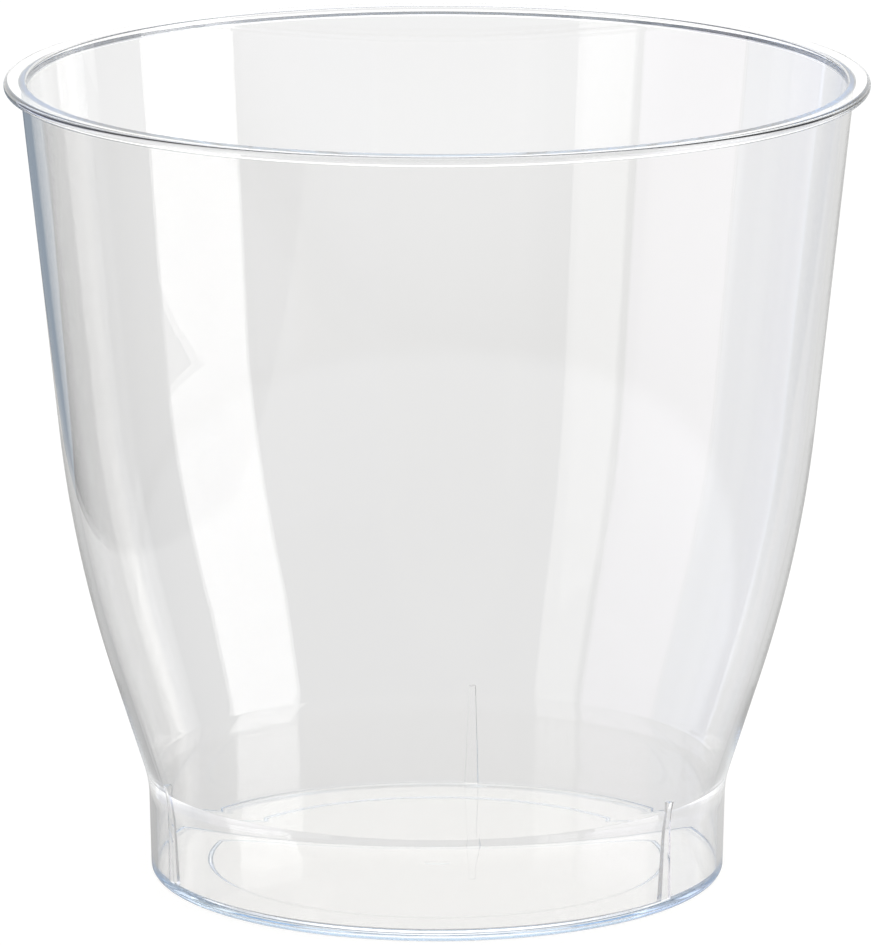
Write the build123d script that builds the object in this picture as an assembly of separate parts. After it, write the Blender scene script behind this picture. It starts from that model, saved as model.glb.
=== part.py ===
from build123d import *
import math
import os

# A clear dessert bowl on a straight foot, moulded as one thin wall.
# Millimetres, +Z up. The origin is the middle of the surface it stands on.

# Rim
rim_diameter = 80.0        # outside of the lip
height = 75.4              # standing surface to the top of the lip
lip_overhang = 1.52        # how far the lip stands out from the wall
lip_thickness = 0.92       # top of the lip to its underside
lip_edge_share = 0.56      # radius of the rounded edge, as a share of the lip's thickness

# Wall of the bowl: a steep upper cone and a wider lower one, blended at the belly
belly_diameter = 67.9      # outside, where the lines of the two cones meet
belly_height = 30.6
belly_blend = 12.2         # length of each cone that the blend takes up
rim_wall = 0.65            # wall just under the lip
mouth_chamfer = 0.12       # broken inner edge of the mouth
belly_wall = 0.75
neck_wall = 0.86           # wall of the lower cone, above the foot

# Foot: a short, nearly straight ring that the floor closes at the bottom
foot_diameter = 54.14      # outside, at the top of the foot
foot_height = 8.87         # up to the outer corner with the bowl
foot_draft = 1.35          # degrees, so that the moulding leaves its tool
foot_wall = 0.6
base_chamfer = 0.45        # broken outer edge that the bowl stands inside
floor_thickness = 1.1
floor_chamfer = 0.25       # inner edge between floor and foot

# Shallow recess under the floor, and the mark of the moulding gate in it
recess_diameter = 42.4
recess_depth = 0.25
gate_diameter = 2.4
gate_height = 0.15

# Ribs inside the foot, on which the next bowl of a stack lands
rib_count = 3
rib_azimuth = -37.5        # degrees from +X to the first rib
rib_depth = 0.5            # how far a rib stands in from the foot's wall
rib_top_width = 0.6
rib_base_width = 1.3
rib_rise = 0.85            # top of a rib above the inner corner
bury_share = 0.5           # how far into a wall or the floor a rib is sunk

# The longest blend, as a share of the shorter wall beside it
blend_limit_share = 0.9


def foot_radius(z):
    """Outside of the foot at a height, which grows with the draft."""
    return foot_diameter / 2 - (foot_height - z) * math.tan(math.radians(foot_draft))


def slope(lower, upper):
    """Angle of a stretch of wall from the vertical."""
    return math.atan2(upper[0] - lower[0], upper[1] - lower[1])


# Corners of the outer face, from the foot up to the lip
outer_foot = (foot_diameter / 2, foot_height)
outer_belly = (belly_diameter / 2, belly_height)
outer_top = (rim_diameter / 2 - lip_overhang, height - lip_thickness)
lower_slope = slope(outer_foot, outer_belly)
upper_slope = slope(outer_belly, outer_top)
middle_slope = (lower_slope + upper_slope) / 2

# Corners of the inner face: each is the outer one, moved in by the wall that is there
neck_step = (neck_wall / math.cos(lower_slope) - foot_wall) / math.tan(lower_slope)
inner_floor = (foot_radius(floor_thickness) - foot_wall, floor_thickness)
inner_neck = (foot_diameter / 2 - foot_wall, foot_height + neck_step)
inner_belly = (
    outer_belly[0] - belly_wall * math.cos(middle_slope),
    outer_belly[1] + belly_wall * math.sin(middle_slope),
)
inner_mouth = (
    outer_top[0] + lip_thickness * math.tan(upper_slope) - rim_wall / math.cos(upper_slope),
    height,
)


def blended_wall(lower, belly, upper):
    """One face of the wall: two straight stretches, with a soft blend in place of their corner."""
    below, above = Vector(*belly) - Vector(*lower), Vector(*upper) - Vector(*belly)
    reach = min(belly_blend, min(below.length, above.length) * blend_limit_share)
    start = Vector(*belly) - below.normalized() * reach
    end = Vector(*belly) + above.normalized() * reach
    Line(lower, start)
    Spline(start, end, tangents=(below, above))
    Line(end, upper)


def wall_section():
    """Half of the bowl's section, closed along the axis."""
    recess_radius = recess_diameter / 2
    lip_radius = rim_diameter / 2
    edge_radius = lip_thickness * lip_edge_share
    crown = edge_radius - math.sqrt(edge_radius**2 - (lip_thickness / 2) ** 2)
    lip_under = (lip_radius - crown, height - lip_thickness)
    lip_middle = (lip_radius, height - lip_thickness / 2)
    lip_over = (lip_radius - crown, height)
    mouth_low = (inner_mouth[0] - mouth_chamfer * math.tan(upper_slope), height - mouth_chamfer)
    foot_slope = (inner_neck[0] - inner_floor[0]) / (inner_neck[1] - inner_floor[1])
    with BuildSketch(Plane.XZ) as section:
        with BuildLine():
            Polyline(
                (0, floor_thickness),
                (0, recess_depth - gate_height),
                (gate_diameter / 2, recess_depth - gate_height),
                (gate_diameter / 2, recess_depth),
                (recess_radius, recess_depth),
                (recess_radius + recess_depth, 0),
                (foot_radius(0) - base_chamfer, 0),
                (foot_radius(base_chamfer), base_chamfer),
                outer_foot,
            )
            blended_wall(outer_foot, outer_belly, outer_top)
            Line(outer_top, lip_under)
            ThreePointArc(lip_under, lip_middle, lip_over)
            Polyline(lip_over, (inner_mouth[0] + mouth_chamfer, height), mouth_low)
            blended_wall(inner_neck, inner_belly, mouth_low)
            Polyline(
                inner_neck,
                (inner_floor[0] + floor_chamfer * foot_slope, floor_thickness + floor_chamfer),
                (inner_floor[0] - floor_chamfer, floor_thickness),
                (0, floor_thickness),
            )
        make_face()
    return section.sketch


def rib_slice(z, wall_radius, width):
    """One level section of a rib that runs out along +X and ends inside the wall."""
    inner = wall_radius - rib_depth
    outer = wall_radius + foot_wall * bury_share
    return Pos((inner + outer) / 2, 0, z) * Rectangle(outer - inner, width)


def rib():
    """A stacking rib: it stands on the floor, and thins towards its flat top."""
    top = inner_neck[1] + rib_rise
    top_wall_radius = inner_neck[0] + rib_rise * math.tan(lower_slope)
    lower = rib_slice(floor_thickness * bury_share, inner_floor[0], rib_base_width)
    upper = rib_slice(top, top_wall_radius, rib_top_width)
    return loft([lower, upper], ruled=True)


def bowl():
    """The whole moulding: the turned wall with its ribs."""
    body = revolve(wall_section(), axis=Axis.Z)
    step = 360 / rib_count
    for number in range(rib_count):
        body += Rot(0, 0, rib_azimuth + number * step) * rib()
    return body.solid()


os.makedirs("parts", exist_ok=True)
export_step(bowl(), "parts/bowl.step")
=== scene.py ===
import math
import bpy
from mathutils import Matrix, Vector


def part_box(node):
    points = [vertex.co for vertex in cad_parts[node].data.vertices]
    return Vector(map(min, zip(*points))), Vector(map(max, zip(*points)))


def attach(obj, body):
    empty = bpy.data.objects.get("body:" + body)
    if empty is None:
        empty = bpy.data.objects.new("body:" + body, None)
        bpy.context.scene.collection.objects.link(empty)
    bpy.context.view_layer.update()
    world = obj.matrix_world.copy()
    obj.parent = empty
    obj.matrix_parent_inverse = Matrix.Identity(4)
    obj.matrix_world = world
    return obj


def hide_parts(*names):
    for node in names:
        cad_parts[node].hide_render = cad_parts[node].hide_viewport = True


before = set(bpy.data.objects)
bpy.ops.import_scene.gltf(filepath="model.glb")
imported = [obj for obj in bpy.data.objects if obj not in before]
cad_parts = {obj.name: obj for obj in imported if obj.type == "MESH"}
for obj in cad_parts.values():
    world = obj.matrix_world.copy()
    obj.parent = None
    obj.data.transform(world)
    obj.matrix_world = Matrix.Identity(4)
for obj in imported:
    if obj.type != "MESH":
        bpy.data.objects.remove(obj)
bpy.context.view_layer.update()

# Clear dessert bowl, moulded in one piece. Metres, +Z up, standing on z = 0.
mm = 0.001
lowCorner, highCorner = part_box("bowl")


# Camera

cameraView = {
    "aim": (-0.15 * mm, 0, 37.9 * mm),
    "distance": 831.0 * mm,
    "elevation": 12.864,          # degrees above the bowl
    "lens": 339.5,
    "sensor": 36,                 # along the longer side of the picture
    "nearClip": 0.01,
    "farClip": 50,
}


def addCamera(view):
    tilt = math.radians(view["elevation"])
    away = Vector((0, -math.cos(tilt), math.sin(tilt)))
    place = Vector(view["aim"]) + view["distance"] * away
    bpy.ops.object.camera_add(location=place, rotation=(math.pi / 2 - tilt, 0, 0))
    camera = bpy.context.object
    camera.name = "photoCamera"
    camera.data.sensor_width = view["sensor"]
    camera.data.lens = view["lens"]
    camera.data.clip_start = view["nearClip"]
    camera.data.clip_end = view["farClip"]
    bpy.context.scene.camera = camera


addCamera(cameraView)
print("camera ready")


# Shader maths as Python expressions

class Socket:
    def __init__(self, tree, output):
        self.tree = tree
        self.output = output

    def maths(self, operation, *values):
        return makeNode(self.tree, "ShaderNodeMath", {"operation": operation}, dict(enumerate(values)))

    def __add__(self, other):
        return self.maths("ADD", self, other)

    def __radd__(self, other):
        return self.maths("ADD", other, self)

    def __sub__(self, other):
        return self.maths("SUBTRACT", self, other)

    def __rsub__(self, other):
        return self.maths("SUBTRACT", other, self)

    def __mul__(self, other):
        return self.maths("MULTIPLY", self, other)

    def __rmul__(self, other):
        return self.maths("MULTIPLY", other, self)

    def __lt__(self, other):
        return self.maths("LESS_THAN", self, other)

    def __gt__(self, other):
        return self.maths("GREATER_THAN", self, other)


def makeNode(tree, kind, settings=None, values=None, out=0):
    made = tree.nodes.new(kind)
    for name, value in (settings or {}).items():
        setattr(made, name, value)
    for name, value in (values or {}).items():
        if isinstance(value, Socket):
            tree.links.new(value.output, made.inputs[name])
        else:
            made.inputs[name].default_value = value
    return Socket(tree, made.outputs[out]) if len(made.outputs) else None


def emptyTree(owner):
    owner.use_nodes = True
    owner.node_tree.nodes.clear()
    return owner.node_tree


def newMaterial(name):
    material = bpy.data.materials.new(name)
    return material, emptyTree(material)


# Bowl

slack = 0.002 * mm                # what two measures of the same place may differ by

bowlShape = {
    "rimRadius": 40 * mm,
    "height": highCorner.z - lowCorner.z,
    "lipOverhang": 1.52 * mm,
    "lipThickness": 0.92 * mm,
    "lipRound": 0.414 * mm,
    "lipRootRound": 0.2 * mm,
    "mouthRound": 0.25 * mm,
    "rimWall": 0.65 * mm,
    "bellyRadius": 33.95 * mm,    # where the lines of the two outer cones meet
    "bellyHeight": 30.6 * mm,
    "bellyRound": 117 * mm,
    "bellyWall": 0.75 * mm,
    "neckWall": 0.86 * mm,
    "neckRound": 0.3 * mm,
    "footRadius": 27.07 * mm,
    "footHeight": 8.87 * mm,
    "footDraft": 1.35,            # degrees
    "footWall": 0.6 * mm,
    "footCornerRound": 11 * mm,
    "baseRound": 0.67 * mm,
    "floorThickness": 1.1 * mm,
    "floorRound": 0.2 * mm,
    "recessRadius": 21.2 * mm,
    "recessDepth": 0.25 * mm,
    "recessRound": 0.4 * mm,
    "gateRadius": 1.2 * mm,
    "gateHeight": 0.15 * mm,
    "ribAzimuth": -37.5,          # degrees from +X to the first rib
    "ribCount": 3,
    "ribDepth": 0.5 * mm,
    "ribTopWidth": 0.6 * mm,
    "ribBaseWidth": 1.3 * mm,
    "ribRise": 0.85 * mm,
    "ribMerge": 0.02 * mm,        # closes a rib to the floor
    "columns": 360,               # faces round the bowl
    "arcStep": 7.5,               # degrees to a face on the small rounds
    "softStep": 0.6,              # degrees to a face on the soft rounds
    "softFrom": 10 * mm,          # radius from which a round is a soft one
    "leastFaces": 2,              # on any round
    "smoothAngle": 30,            # degrees
    "flatWeight": 100,            # a flat face stays flat up to the round beside it
}


def footLine(shape, z):
    return shape["footRadius"] - (shape["footHeight"] - z) * math.tan(math.radians(shape["footDraft"]))


def lean(lower, upper):
    return math.atan2(upper[0] - lower[0], upper[1] - lower[1])


def mix(low, high, share):
    return low * (1 - share) + high * share


def bowlOutline(shape):
    height = shape["height"]
    lipUnder = height - shape["lipThickness"]
    foot = (shape["footRadius"], shape["footHeight"])
    belly = (shape["bellyRadius"], shape["bellyHeight"])
    top = (shape["rimRadius"] - shape["lipOverhang"], lipUnder)
    lower, upper = lean(foot, belly), lean(belly, top)
    middle = (lower + upper) / 2
    step = (shape["neckWall"] / math.cos(lower) - shape["footWall"]) / math.tan(lower)
    neck = (foot[0] - shape["footWall"], foot[1] + step)
    floor = (footLine(shape, shape["floorThickness"]) - shape["footWall"], shape["floorThickness"])
    innerBelly = (
        belly[0] - shape["bellyWall"] * math.cos(middle),
        belly[1] + shape["bellyWall"] * math.sin(middle),
    )
    mouth = top[0] + shape["lipThickness"] * math.tan(upper) - shape["rimWall"] / math.cos(upper)
    gate = shape["recessDepth"] - shape["gateHeight"]
    ribTop = (neck[0] + shape["ribRise"] * math.tan(lean(neck, innerBelly)), neck[1] + shape["ribRise"])
    # radius, height and round of each corner: from the gate mark out and up to the lip, and down inside
    corners = [
        (0, gate, 0),
        (shape["gateRadius"], gate, 0),
        (shape["gateRadius"], shape["recessDepth"], 0),
        (shape["recessRadius"], shape["recessDepth"], shape["recessRound"]),
        (shape["recessRadius"] + shape["recessDepth"], 0, shape["recessRound"]),
        (footLine(shape, 0), 0, shape["baseRound"]),
        (*foot, shape["footCornerRound"]),
        (*belly, shape["bellyRound"]),
        (*top, shape["lipRootRound"]),
        (shape["rimRadius"], lipUnder, shape["lipRound"]),
        (shape["rimRadius"], height, shape["lipRound"]),
        (mouth, height, shape["mouthRound"]),
        (*innerBelly, shape["bellyRound"]),
        (*ribTop, 0),
        (*neck, shape["neckRound"]),
        (*floor, shape["floorRound"]),
        (0, shape["floorThickness"], 0),
    ]
    return corners, floor, ribTop


def startPoint(name, place):
    bpy.ops.object.select_all(action="DESELECT")
    bpy.ops.mesh.primitive_plane_add(size=mm, location=(0, 0, 0))
    piece = bpy.context.object
    piece.name = name
    bpy.ops.object.mode_set(mode="EDIT")
    bpy.ops.mesh.select_mode(type="VERT")
    bpy.ops.mesh.select_all(action="SELECT")
    bpy.ops.mesh.merge(type="CENTER")
    bpy.ops.transform.translate(value=place)
    return piece


def extrudeTo(here, there):
    bpy.ops.mesh.extrude_vertices_move(TRANSFORM_OT_translate={"value": there - here})


def drawProfile(corners, shape):
    points = [Vector((r, 0, z)) for r, z, _ in corners]
    here = points[0]
    for before, corner, after, (_, _, radius) in zip(points, points[1:], points[2:], corners[1:]):
        if radius == 0:
            extrudeTo(here, corner)
            here = corner
            continue
        into, out = (corner - before).normalized(), (after - corner).normalized()
        turn = into.angle(out)
        reach = radius * math.tan(turn / 2)
        start, end = corner - into * reach, corner + out * reach
        leftward = into.z * out.x - into.x * out.z < 0     # the outline bends to its left here
        side = Vector((-into.z, 0, into.x)) * (radius if leftward else -radius)
        step = shape["softStep"] if radius > shape["softFrom"] else shape["arcStep"]
        extrudeTo(here, start)
        bpy.ops.mesh.spin(
            steps=max(shape["leastFaces"], math.ceil(math.degrees(turn) / step)),
            angle=turn if leftward else -turn,
            center=start + side,
            axis=(0, 1, 0),
        )
        here = end
    extrudeTo(here, points[-1])


def pickVertices(mesh, chosen):
    bpy.ops.object.mode_set(mode="OBJECT")
    for group in (mesh.polygons, mesh.edges):
        group.foreach_set("select", [False] * len(group))
    mesh.vertices.foreach_set("select", [index in chosen for index in range(len(mesh.vertices))])
    bpy.ops.object.mode_set(mode="EDIT")
    bpy.ops.mesh.select_mode(type="VERT")


def between(value, low, high):
    return low - slack < value < high + slack


def atLevel(mesh, indices, level):
    return [index for index in indices if between(mesh.vertices[index].co.z, level, level)]


def addRib(mesh, shape, floor, top):
    # The wall faces of the two middle columns are pulled inwards, level by level, onto the rib's front.
    column = math.radians(360 / shape["columns"])
    front = (floor[0] - shape["ribDepth"], top[0] - shape["ribDepth"])

    def onWall(vertex):
        x, y, z = vertex.co
        reach = math.hypot(x, y)
        return (
            x > 0
            and abs(y) < reach * math.sin(column) + slack
            and between(z, floor[1], top[1])
            and between(reach, floor[0] - shape["floorRound"], top[0])
        )

    bpy.ops.object.mode_set(mode="OBJECT")
    pickVertices(mesh, {vertex.index for vertex in mesh.vertices if onWall(vertex)})
    bpy.ops.mesh.select_mode(type="FACE")
    bpy.ops.mesh.extrude_region_move(TRANSFORM_OT_translate={"value": (0, 0, 0)})
    bpy.ops.mesh.select_mode(type="VERT")
    bpy.ops.object.mode_set(mode="OBJECT")
    pulled = {vertex.index for vertex in mesh.vertices if vertex.select}
    wall = [vertex.index for vertex in mesh.vertices if onWall(vertex) and vertex.index not in pulled]
    levels = sorted({round(mesh.vertices[index].co.z / mm, 4) * mm for index in pulled})
    for level in levels:
        share = (level - floor[1]) / (top[1] - floor[1])
        halfWidth = mix(shape["ribBaseWidth"], shape["ribTopWidth"], share) / 2
        edge = [index for index in atLevel(mesh, wall, level) if abs(mesh.vertices[index].co.y) > slack]
        x, y, _ = mesh.vertices[edge[0]].co
        widen = halfWidth / abs(y)
        draw = math.sqrt(math.hypot(x, y)**2 - halfWidth**2) / x     # keeps the edge on the wall
        pickVertices(mesh, set(edge))
        bpy.ops.transform.resize(value=(draw, widen, 1), center_override=(0, 0, level))
        bpy.ops.object.mode_set(mode="OBJECT")
        pickVertices(mesh, set(atLevel(mesh, pulled, level)))
        bpy.ops.transform.resize(value=(0, widen, 1), center_override=(mix(*front, share), 0, level))
        bpy.ops.object.mode_set(mode="OBJECT")
    pickVertices(mesh, set(atLevel(mesh, pulled | set(wall), floor[1])))
    bpy.ops.mesh.remove_doubles(threshold=shape["ribMerge"])


def turnSelected(degrees):
    # without a window the operator turns the other way, so the angle is given with its sign changed
    bpy.ops.transform.rotate(value=-math.radians(degrees), orient_axis="Z", center_override=(0, 0, 0))


def makeBowl(shape):
    corners, floor, ribTop = bowlOutline(shape)
    bowl = startPoint("clearBowl", (0, 0, corners[0][1]))
    drawProfile(corners, shape)
    bpy.ops.mesh.select_all(action="SELECT")
    sector = 360 / shape["ribCount"]
    bpy.ops.mesh.spin(
        steps=round(shape["columns"] / shape["ribCount"]),
        angle=-math.radians(sector),
        center=(0, 0, 0),
        axis=(0, 0, 1),
    )
    bpy.ops.mesh.select_all(action="SELECT")
    turnSelected(-sector / 2)
    addRib(bowl.data, shape, floor, ribTop)
    bpy.ops.mesh.select_all(action="SELECT")
    turnSelected(shape["ribAzimuth"])
    for _ in range(shape["ribCount"] - 1):
        bpy.ops.mesh.duplicate()
        turnSelected(sector)
    bpy.ops.mesh.select_all(action="SELECT")
    bpy.ops.mesh.remove_doubles(threshold=slack)
    bpy.ops.mesh.normals_make_consistent(inside=False)
    bpy.ops.object.mode_set(mode="OBJECT")
    bpy.ops.object.shade_smooth_by_angle(angle=math.radians(shape["smoothAngle"]))
    bpy.ops.object.modifier_add(type="WEIGHTED_NORMAL")
    flatten = bowl.modifiers[-1]
    flatten.keep_sharp = True
    flatten.weight = shape["flatWeight"]
    bpy.ops.object.modifier_apply(modifier=flatten.name)
    return bowl


bowl = makeBowl(bowlShape)
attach(bowl, "root")
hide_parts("bowl")
print("bowl modelled")


# Clear polystyrene, polished on both sides

plasticLook = {
    "tint": (0.989, 0.984, 0.978, 1),
    "ior": 1.59,
    "depthColour": (0.25, 0.54, 0.8, 1),
    "depthDensity": 10.0,         # per metre of plastic
    "waveScale": 90,              # waves to a metre
    "waveStretch": (1, 1, 0.35),  # they run up the wall
    "waveDetail": 3.0,
    "waveHeight": 0.004 * mm,
}


def makePlastic(look):
    material, tree = newMaterial("clearPolystyrene")
    place = makeNode(tree, "ShaderNodeTexCoord", out="Object")
    flow = makeNode(tree, "ShaderNodeMapping", values={"Vector": place, "Scale": look["waveStretch"]})
    waves = makeNode(tree, "ShaderNodeTexNoise", values={
        "Vector": flow,
        "Scale": look["waveScale"],
        "Detail": look["waveDetail"],
    })
    normal = makeNode(tree, "ShaderNodeBump", values={
        "Height": waves * look["waveHeight"],
        "Distance": 1.0,
        "Strength": 1.0,
    })
    surface = makeNode(tree, "ShaderNodeBsdfPrincipled", values={
        "Base Color": look["tint"],
        "IOR": look["ior"],
        "Transmission Weight": 1.0,
        "Roughness": 0.0,
        "Normal": normal,
    })
    depth = makeNode(tree, "ShaderNodeVolumeAbsorption", values={
        "Color": look["depthColour"],
        "Density": look["depthDensity"],
    })
    makeNode(tree, "ShaderNodeOutputMaterial", values={"Surface": surface, "Volume": depth})
    return material


bowl.data.materials.clear()
bowl.data.materials.append(makePlastic(plasticLook))
print("plastic ready")


# Studio: a glossy white table that ends just left of the bowl, a backdrop behind, lamps and panels at the
# sides. What is seen directly is white, and what is seen through the plastic is white with painted shade;
# what the walls mirror is the studio, with painted light on the table and painted shade on the backdrop's
# lower part.

def lightPath(tree, out):
    return makeNode(tree, "ShaderNodeLightPath", out=out)


def straightView(tree):
    # 1 for what is seen directly or through the plastic, 0 for what a surface mirrors or scatters
    bounces = lightPath(tree, "Glossy Depth") + lightPath(tree, "Diffuse Depth")
    return lightPath(tree, "Is Camera Ray") + lightPath(tree, "Is Transmission Ray") * (bounces < 1)


def along(place, axis):
    return makeNode(place.tree, "ShaderNodeSeparateXYZ", values={"Vector": place}, out=axis)


def ramp(value, lowPlace, highPlace, lowLevel, highLevel):
    return makeNode(value.tree, "ShaderNodeMapRange", {"interpolation_type": "SMOOTHSTEP"}, {
        "Value": value,
        "From Min": lowPlace,
        "From Max": highPlace,
        "To Min": lowLevel,
        "To Max": highLevel,
    })


def mixShaders(tree, share, first, second):
    return makeNode(tree, "ShaderNodeMixShader", values={0: share, 1: first, 2: second})


tableLook = {
    "size": 8.0,
    "drop": 0.02 * mm,            # the bowl's foot isn't sunk in the table
    "colour": (0.8, 0.8, 0.8, 1),
    "glowShare": 0.8,             # the rest of what is seen shows the table's light and the bowl's shadow
    "glow": 1.13,
    "glowColour": (1.0, 0.998, 0.985, 1),
    "nearPaintedShade": 0.193,             # painted shade for the bowl's shadow: share of its glow that is taken away close behind the bowl, where it is seen through it
    "farPaintedShade": 0.115,              # and further back, also painted shade
    "nearEnd": 0.06,              # y between which the one passes into the other
    "farStart": 0.36,
    "mirroredPaintedLeft": 0.36,         # painted light: the table's glow where the walls mirror it, darker at the left
    "mirroredPaintedRight": 0.62,
    "polishLift": 1.0,            # how much of its gloss they mirror at the right, growing from none
    "leftPlace": -0.12,           # x + y between which both grow
    "rightPlace": 0.12,
    "ior": 1.45,
    "edgePlace": -0.101,          # x of the table's left edge beside the bowl
    "edgeSlant": 0.11,
    "edgeEnd": -0.045,            # how far to the right the slanted edge runs
}


def makeTable(look):
    bpy.ops.mesh.primitive_plane_add(size=look["size"], location=(0, 0, -look["drop"]))
    table = bpy.context.object
    table.name = "studioTable"
    material, tree = newMaterial("tableSheet")
    place = makeNode(tree, "ShaderNodeTexCoord", out="Object")
    x, y = along(place, "X"), along(place, "Y")

    # seen directly or through the bowl; through the bowl the glow is dimmed, a painted shadow of the bowl
    # painted shade: the table's glow is lowered only where it is seen through the bowl
    paintedShadeThrough = ramp(y, look["nearEnd"], look["farStart"], look["nearPaintedShade"], look["farPaintedShade"])
    level = look["glow"] - lightPath(tree, "Is Transmission Ray") * paintedShadeThrough * look["glow"]
    glow = makeNode(tree, "ShaderNodeEmission", values={"Strength": level, "Color": look["glowColour"]})
    paper = makeNode(tree, "ShaderNodeBsdfDiffuse", values={"Color": look["colour"]})
    seen = mixShaders(tree, look["glowShare"], paper, glow)

    # mirrored by the walls: a painted glow, darker at the left and brighter at the right where the key lamp
    # stands, in place of the lamps' light on the table
    # painted light: the mirrored table's brightness is set by its place, not by the lamps
    paintedTableLevel = ramp(x + y, look["leftPlace"], look["rightPlace"], look["mirroredPaintedLeft"], look["mirroredPaintedRight"])
    paintedTableLight = makeNode(tree, "ShaderNodeEmission", values={"Strength": paintedTableLevel})
    polish = makeNode(tree, "ShaderNodeBsdfGlossy", values={"Roughness": 0.0})
    polished = ramp(x + y, look["leftPlace"], look["rightPlace"], 0.0, look["polishLift"])
    facing = makeNode(tree, "ShaderNodeFresnel", values={"IOR": look["ior"]})
    mirrored = mixShaders(tree, facing * polished, paintedTableLight, polish)
    edge = y * look["edgeSlant"] + look["edgePlace"]
    beyond = x < edge.maths("MINIMUM", edge, look["edgeEnd"])
    mirrored = mixShaders(tree, beyond, mirrored, makeNode(tree, "ShaderNodeBsdfTransparent"))

    surface = mixShaders(tree, straightView(tree), mirrored, seen)
    makeNode(tree, "ShaderNodeOutputMaterial", values={"Surface": surface})
    table.data.materials.append(material)


backdropLook = {
    "azimuth": 8,                 # degrees from straight behind, turning to the right
    "distance": 1.8,
    "width": 3.6,
    "low": -0.6,
    "high": 1.5,
    "glow": (1.3, 1.295, 1.27),
    # painted shade: under the table's height the backdrop glows darker and bluer
    "paintedShadeBelow": (0.29, 0.34, 0.4),
    "fadeStart": -0.3,            # from here up to the table's height the glow rises to its full level; below it the painted shade darkens it
}


def makeBackdrop(look):
    turn = math.radians(look["azimuth"])
    middle = (look["low"] + look["high"]) / 2
    centre = (math.sin(turn) * look["distance"], math.cos(turn) * look["distance"], middle)
    bpy.ops.mesh.primitive_plane_add(size=1, location=centre, rotation=(math.pi / 2, 0, -turn))
    sheet = bpy.context.object
    sheet.name = "backdrop"
    sheet.scale = (look["width"], look["high"] - look["low"], 1)
    bpy.ops.object.transform_apply(location=True, rotation=True, scale=True)
    material, tree = newMaterial("backdropPaper")
    up = along(makeNode(tree, "ShaderNodeTexCoord", out="Object"), "Z")
    # painted shade: the backdrop's glow fades to a darker, bluer level under the table's height
    red, green, blue = (
        ramp(up, look["fadeStart"], 0.0, low, high) for low, high in zip(look["paintedShadeBelow"], look["glow"])
    )
    tone = makeNode(tree, "ShaderNodeCombineXYZ", values={"X": red, "Y": green, "Z": blue})
    strength = 1 - lightPath(tree, "Is Diffuse Ray")
    glow = makeNode(tree, "ShaderNodeEmission", values={"Strength": strength, "Color": tone})
    makeNode(tree, "ShaderNodeOutputMaterial", values={"Surface": glow})
    sheet.data.materials.append(material)


surroundLook = {
    "colour": (0.89, 0.92, 1.0, 1),
    "sides": 0.7,                 # what the walls mirror where there is no lamp
    "roof": 0.8,
    "roofStart": 0.30,            # sines of the heights between which the roof takes over
    "roofEnd": 0.50,
    "below": 0.08,                # under the table, where it has ended
    "horizon": 0.02,
    "fill": 0.6,                  # what lights the table
}


def makeSurround(look):
    world = bpy.data.worlds.new("studioSurround")
    bpy.context.scene.world = world
    tree = emptyTree(world)
    up = along(makeNode(tree, "ShaderNodeTexCoord", out="Generated"), "Z")
    sides = ramp(up, -look["horizon"], look["horizon"], look["below"], look["sides"])
    roof = sides + ramp(up, look["roofStart"], look["roofEnd"], 0.0, look["roof"] - look["sides"])
    diffuse = lightPath(tree, "Is Diffuse Ray")
    seen = straightView(tree)
    level = seen + (1 - seen) * (roof * (1 - diffuse) + diffuse * look["fill"])
    background = makeNode(tree, "ShaderNodeBackground", values={"Color": look["colour"], "Strength": level})
    makeNode(tree, "ShaderNodeOutputWorld", values={"Surface": background})


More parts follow.
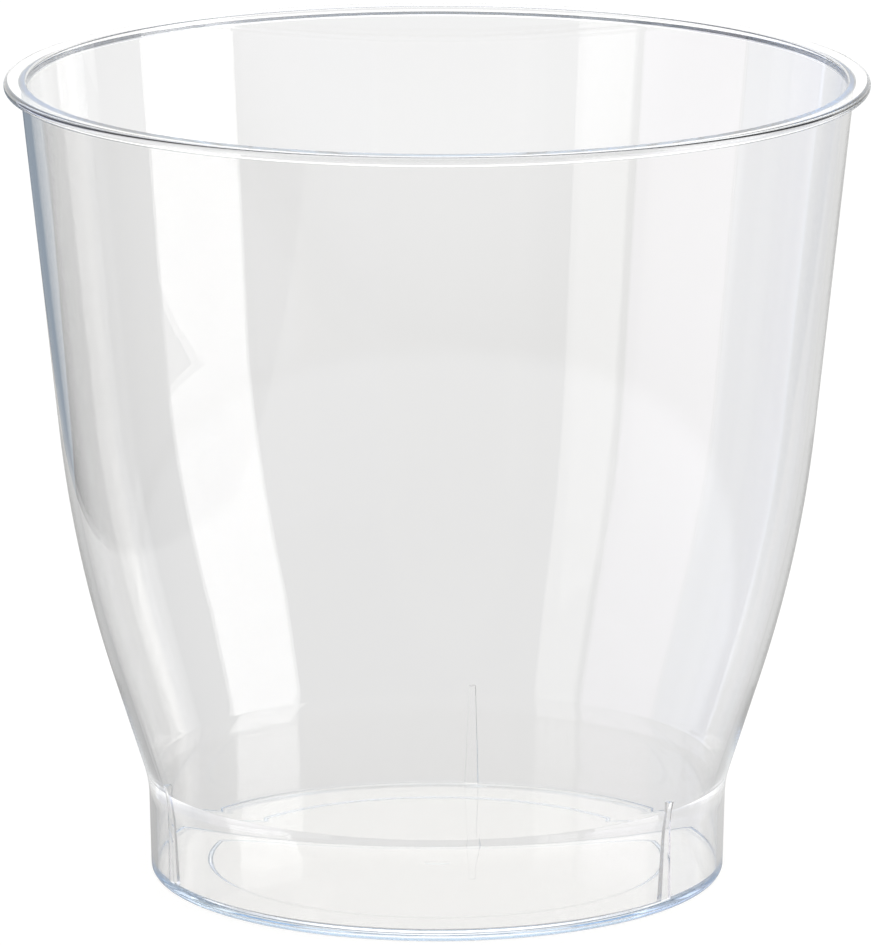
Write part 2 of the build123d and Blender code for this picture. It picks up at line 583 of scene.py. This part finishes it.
# From and to are degrees from the viewer's side, turning to the right, low and high are the heights of the
# two edges, and lean is in degrees.
lamps = {
    "keyBox": {
        "from": 60.8, "to": 93.1, "distance": 0.7, "low": -0.08, "high": 0.5, "lean": 11,
        "radiance": 2.6, "colour": (1.0, 1.0, 1.0),
    },
    "rearBox": {
        "from": 117, "to": 134, "distance": 1.0, "low": 0.0, "high": 0.5, "lean": 0,
        "radiance": 0.6, "colour": (1.0, 1.0, 1.0),
    },
    "leftPanel": {
        "from": -60, "to": -42, "distance": 0.9, "low": -0.1, "high": 0.5, "lean": 0,
        "radiance": 0.9, "colour": (1.0, 1.0, 1.0),
    },
    "lilacPanel": {
        "from": -101, "to": -63, "distance": 0.9, "low": -0.1, "high": 0.5, "lean": 0,
        "radiance": 1.1, "colour": (0.92, 0.86, 1.0),
    },
    "sideWall": {
        "from": -146, "to": -101, "distance": 1.5, "low": -0.25, "high": 0.8, "lean": 0,
        "radiance": 0.8, "colour": (0.72, 0.78, 1.0),
    },
}

topLamp = {"height": 1.5, "size": 1.6, "radiance": 1.3}


def addLamp(name, place, rotation, width, height, radiance):
    bpy.ops.object.light_add(type="AREA", location=place, rotation=rotation)
    lamp = bpy.context.object
    lamp.name = name
    lamp.data.shape = "RECTANGLE"
    lamp.data.size = width
    lamp.data.size_y = height
    lamp.data.energy = radiance * math.pi * width * height
    tree = emptyTree(lamp.data)
    # a lamp that stands behind the bowl doesn't show through it
    glow = makeNode(tree, "ShaderNodeEmission", values={"Strength": 1 - straightView(tree)})
    makeNode(tree, "ShaderNodeOutputLight", values={"Surface": glow})
    return lamp


def addSoftBox(name, look):
    turn = math.radians((look["from"] + look["to"]) / 2)
    middle = (look["low"] + look["high"]) / 2
    place = (math.sin(turn) * look["distance"], -math.cos(turn) * look["distance"], middle)
    width = 2 * look["distance"] * math.tan(math.radians(look["to"] - look["from"]) / 2)
    lamp = addLamp(name, place, (math.pi / 2, 0, turn), width, look["high"] - look["low"], look["radiance"])
    lamp.rotation_euler.rotate_axis("Z", math.radians(look["lean"]))
    lamp.data.color = look["colour"]


def addTopLamp(look):
    addLamp("topLamp", (0, 0, look["height"]), (0, 0, 0), look["size"], look["size"], look["radiance"])


makeTable(tableLook)
makeBackdrop(backdropLook)
makeSurround(surroundLook)
for lampName, lampLook in lamps.items():
    addSoftBox(lampName, lampLook)
addTopLamp(topLamp)
print("studio ready")


rayBounces = {
    "plastic": 80,                # light is guided a long way inside the wall
    "paper": 2,
}

scene = bpy.context.scene
scene.view_settings.view_transform = "Standard"
scene.cycles.use_light_tree = False
scene.cycles.max_bounces = rayBounces["plastic"]
scene.cycles.transmission_bounces = rayBounces["plastic"]
scene.cycles.glossy_bounces = rayBounces["plastic"]
scene.cycles.diffuse_bounces = rayBounces["paper"]
